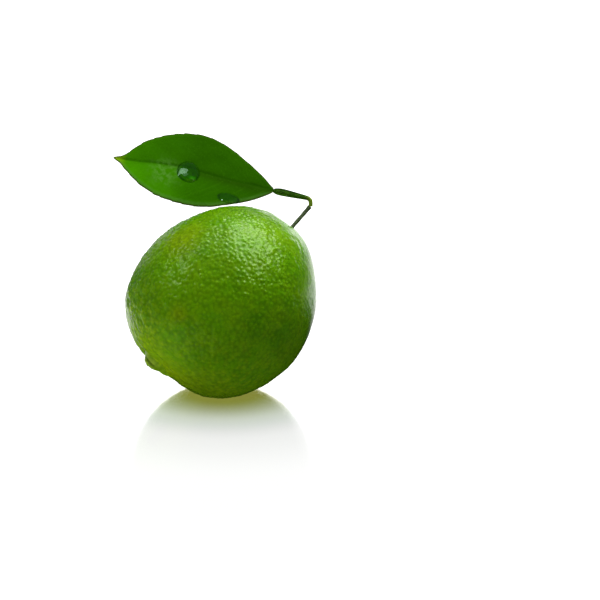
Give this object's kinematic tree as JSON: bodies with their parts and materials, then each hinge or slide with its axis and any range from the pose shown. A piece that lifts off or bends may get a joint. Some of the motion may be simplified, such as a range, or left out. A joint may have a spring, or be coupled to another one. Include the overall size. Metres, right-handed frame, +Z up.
{
  "type": "lime with stem and leaf",
  "caption": "Whole green lime with a dimpled, glossy rind, a blunt nipple, a small calyx, a thin stem and a leaf with water drops; it rests on a small flat spot.",
  "frame": {"origin": "centre of the small flat spot that the lime rests on", "axes": "+Z up from the resting surface; +X is the side the stem end leans to, +Y is the back; the stem end points up, to +X and to +Y, and the nipple points down, to -X and to -Y"},
  "size_m": [0.0619, 0.0627, 0.0718],
  "materials": {
    "lime_rind": "waxy semi-gloss rind with oil-gland dimples",
    "calyx_button": "matte, slightly woody",
    "stem_bark": "matte grey-green bark",
    "petiole_skin": "smooth satin",
    "leaf_skin": "glossy above, matte and paler below",
    "water": "clear, wet gloss"
  },
  "bodies": {
    "root": {"fruit": "lime_rind", "calyx": "calyx_button", "stem": "stem_bark", "petiole": "petiole_skin", "leaf_blade": "leaf_skin", "water_drop_large": "water", "water_drop_small": "water"}
  },
  "joints": []
}
